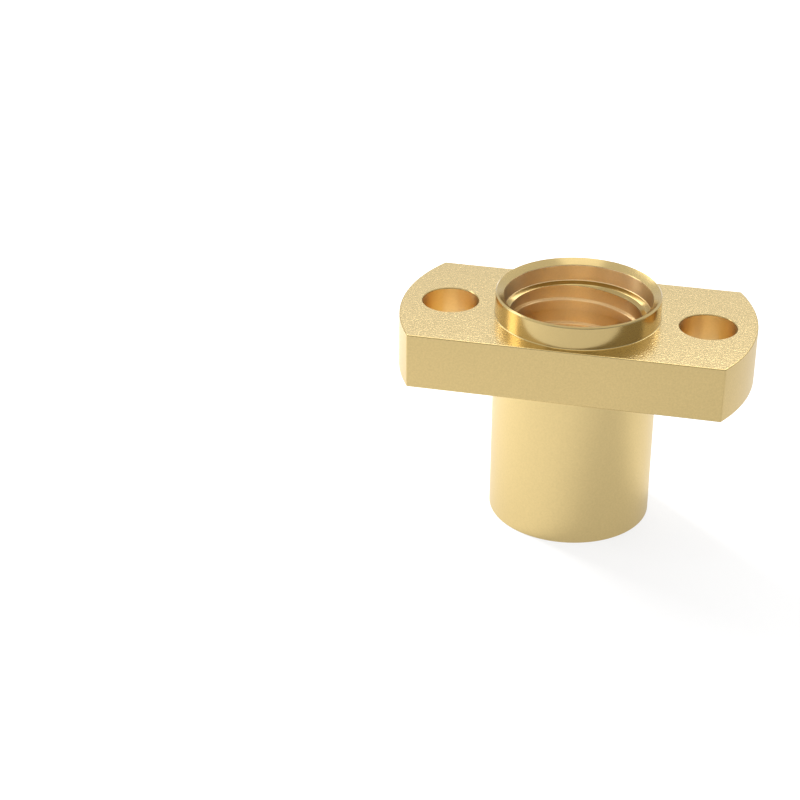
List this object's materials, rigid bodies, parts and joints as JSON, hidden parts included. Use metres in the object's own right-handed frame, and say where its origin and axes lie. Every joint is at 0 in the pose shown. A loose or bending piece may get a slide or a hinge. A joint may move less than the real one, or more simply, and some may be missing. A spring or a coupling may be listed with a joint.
{
  "type": "lead screw nut",
  "caption": "One-piece brass nut with a threaded bore, a two-bolt flange with milled flats and a short counterbored boss.",
  "frame": {"origin": "centre of the barrel's free end face", "axes": "+Z along the screw's axis from the barrel to the boss, +X along the flange through both bolt holes, +Y across the flange's flats"},
  "size_m": [0.022, 0.011, 0.015],
  "materials": {
    "brass": "satin"
  },
  "bodies": {
    "root": {"nut": "brass"}
  },
  "joints": []
}
